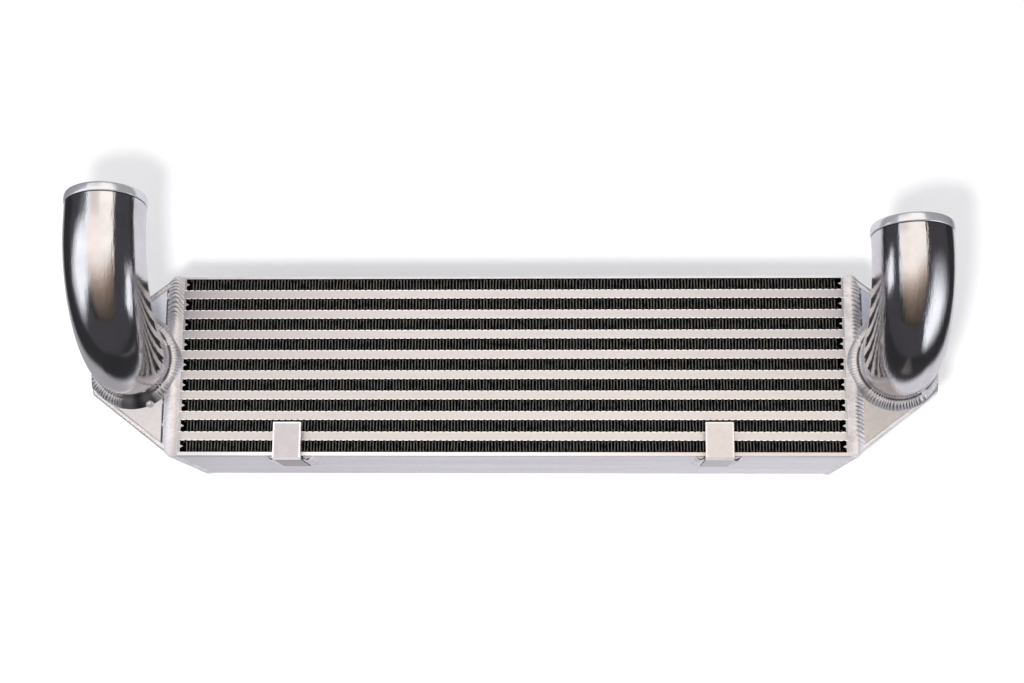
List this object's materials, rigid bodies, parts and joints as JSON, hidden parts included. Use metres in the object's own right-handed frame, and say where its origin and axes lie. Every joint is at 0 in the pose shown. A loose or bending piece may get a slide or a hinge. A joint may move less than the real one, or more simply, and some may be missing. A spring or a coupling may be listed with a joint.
{
  "type": "intercooler",
  "caption": "Bar-and-plate charge-air intercooler with folded fin rows, welded sheet end tanks, upturned beaded hose elbows and hook brackets.",
  "frame": {"origin": "middle of the core's back face, on which the cooler lies", "axes": "+X along the core from tank to tank, +Y across the stack of rows towards the hose ends, +Z out of the face that the elbows leave"},
  "size_m": [0.6479, 0.1893, 0.2418],
  "materials": {
    "fin": "thin matt black paint",
    "turbulator": "mill",
    "bar": "satin",
    "sheet": "satin",
    "side_plate": "satin",
    "tank": "satin",
    "elbow": "polished",
    "weld": "rippled TIG weld",
    "bracket": "satin"
  },
  "bodies": {
    "root": {"ambient_fin_1": "fin", "ambient_fin_2": "fin", "ambient_fin_3": "fin", "ambient_fin_4": "fin", "ambient_fin_5": "fin", "ambient_fin_6": "fin", "ambient_fin_7": "fin", "ambient_fin_8": "fin", "ambient_fin_9": "fin", "charge_fin_1": "turbulator", "front_bar_1": "bar", "rear_bar_1": "bar", "parting_sheets_1": "sheet", "charge_fin_2": "turbulator", "front_bar_2": "bar", "rear_bar_2": "bar", "parting_sheets_2": "sheet", "charge_fin_3": "turbulator", "front_bar_3": "bar", "rear_bar_3": "bar", "parting_sheets_3": "sheet", "charge_fin_4": "turbulator", "front_bar_4": "bar", "rear_bar_4": "bar", "parting_sheets_4": "sheet", "charge_fin_5": "turbulator", "front_bar_5": "bar", "rear_bar_5": "bar", "parting_sheets_5": "sheet", "charge_fin_6": "turbulator", "front_bar_6": "bar", "rear_bar_6": "bar", "parting_sheets_6": "sheet", "charge_fin_7": "turbulator", "front_bar_7": "bar", "rear_bar_7": "bar", "parting_sheets_7": "sheet", "charge_fin_8": "turbulator", "front_bar_8": "bar", "rear_bar_8": "bar", "parting_sheets_8": "sheet", "top_plate": "side_plate", "bottom_plate": "side_plate", "left_end_bars": "bar", "left_tank_wrap": "tank", "left_tank_front": "tank", "left_tank_back": "tank", "left_elbow": "elbow", "left_tank_welds": "weld", "left_elbow_weld": "weld", "left_bracket": "bracket", "right_end_bars": "bar", "right_tank_wrap": "tank", "right_tank_front": "tank", "right_tank_back": "tank", "right_elbow": "elbow", "right_tank_welds": "weld", "right_elbow_weld": "weld", "right_bracket": "bracket", "bracket_welds": "weld"}
  },
  "joints": []
}
